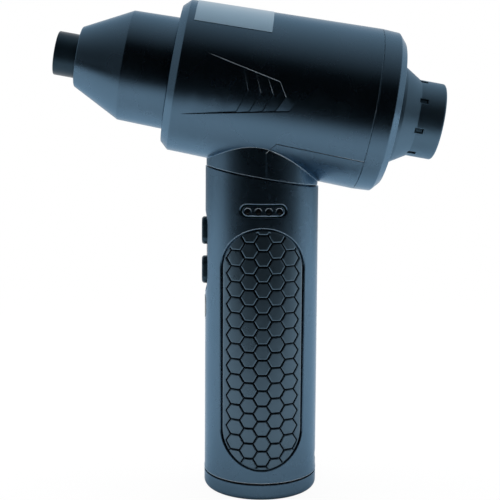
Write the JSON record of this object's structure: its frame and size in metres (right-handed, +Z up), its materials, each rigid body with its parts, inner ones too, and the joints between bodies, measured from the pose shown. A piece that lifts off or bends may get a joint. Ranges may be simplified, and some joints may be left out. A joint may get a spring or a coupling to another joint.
{
  "type": "cordless car dryer blower",
  "caption": "Cordless pistol-shaped blower for drying cars: tilted barrel with a pull-off nozzle and intake, spinning fan, two sprung buttons and a round battery grip.",
  "frame": {"origin": "centre of the grip's flat base", "axes": "+Z up along the grip, nozzle towards -X, air intake towards +X, charge indicator on the -Y side"},
  "size_m": [0.1551, 0.064, 0.1969],
  "materials": {
    "casing": "satin moulded ABS",
    "tip": "fine matt moulded",
    "grip": "soft matt overmould",
    "panel": "polished",
    "button": "satin",
    "label": "matt foil",
    "lens": "frosted",
    "pipe": "clear",
    "seal": "matt",
    "steel": "bright",
    "motor": "turned",
    "lamination": "lacquered",
    "winding": "enamelled wire",
    "inner_plastic": "moulded nylon",
    "board": "solder mask",
    "chip": "moulded epoxy",
    "cell": "shrink sleeve",
    "strap": "nickel",
    "wire": "silicone"
  },
  "bodies": {
    "body": {"barrel_shell": "casing", "base_pad": "seal", "battery_board": "board", "battery_cells": "cell", "battery_frame": "inner_plastic", "battery_leads": "wire", "bottom_cap": "casing", "button_board": "board", "button_panel": "panel", "cap_gasket": "seal", "cap_screws": "steel", "cell_straps": "strap", "charge_board": "board", "charge_port": "steel", "controller_board": "board", "controller_chips": "chip", "cover_screws": "steel", "duct_rings": "seal", "fan_duct": "inner_plastic", "foil_label": "label", "frame_screws": "steel", "grip_pad_left": "grip", "grip_pad_right": "grip", "grip_tube": "casing", "indicator_bezel": "casing", "indicator_board": "board", "light_board": "board", "light_lens": "lens", "light_pipes": "pipe", "motor_bearings": "steel", "motor_cable": "wire", "motor_end_cap": "motor", "motor_housing": "motor", "rear_cap": "casing", "saddle_cover": "casing", "stator_coils": "winding", "stator_core": "lamination", "tact_switches": "inner_plastic", "tail_cone": "inner_plastic"},
    "nozzle": {"nozzle_body": "casing", "nozzle_tip": "tip", "nozzle_seal": "seal"},
    "intake": {"intake_collar": "casing", "intake_cage": "tip", "intake_filter": "steel", "intake_seal": "seal"},
    "rotor": {"rotor_shaft": "steel", "rotor_magnet": "lamination", "impeller": "inner_plastic", "impeller_nut": "motor"},
    "power": {"power_button": "button", "power_stem": "inner_plastic"},
    "speed": {"speed_button": "button", "speed_stem": "inner_plastic"}
  },
  "joints": [
    {"name": "fan_spin", "type": "hinge", "parent": "body", "child": "rotor", "pos_m": [0, 0, 0.1619], "axis": [0.9851, 0, -0.1719], "continuous": true},
    {"name": "power_press", "type": "slide", "parent": "body", "child": "power", "axis": [1, 0, 0], "range_m": [0, 0.0008], "stiffness_N_per_m": 1500},
    {"name": "speed_press", "type": "slide", "parent": "body", "child": "speed", "axis": [1, 0, 0], "range_m": [0, 0.0008], "stiffness_N_per_m": 1500},
    {"name": "nozzle_pull", "type": "slide", "parent": "body", "child": "nozzle", "axis": [-0.9851, 0, 0.1719], "range_m": [0, 0.016]},
    {"name": "intake_pull", "type": "slide", "parent": "body", "child": "intake", "axis": [0.9851, 0, -0.1719], "range_m": [0, 0.012]}
  ]
}
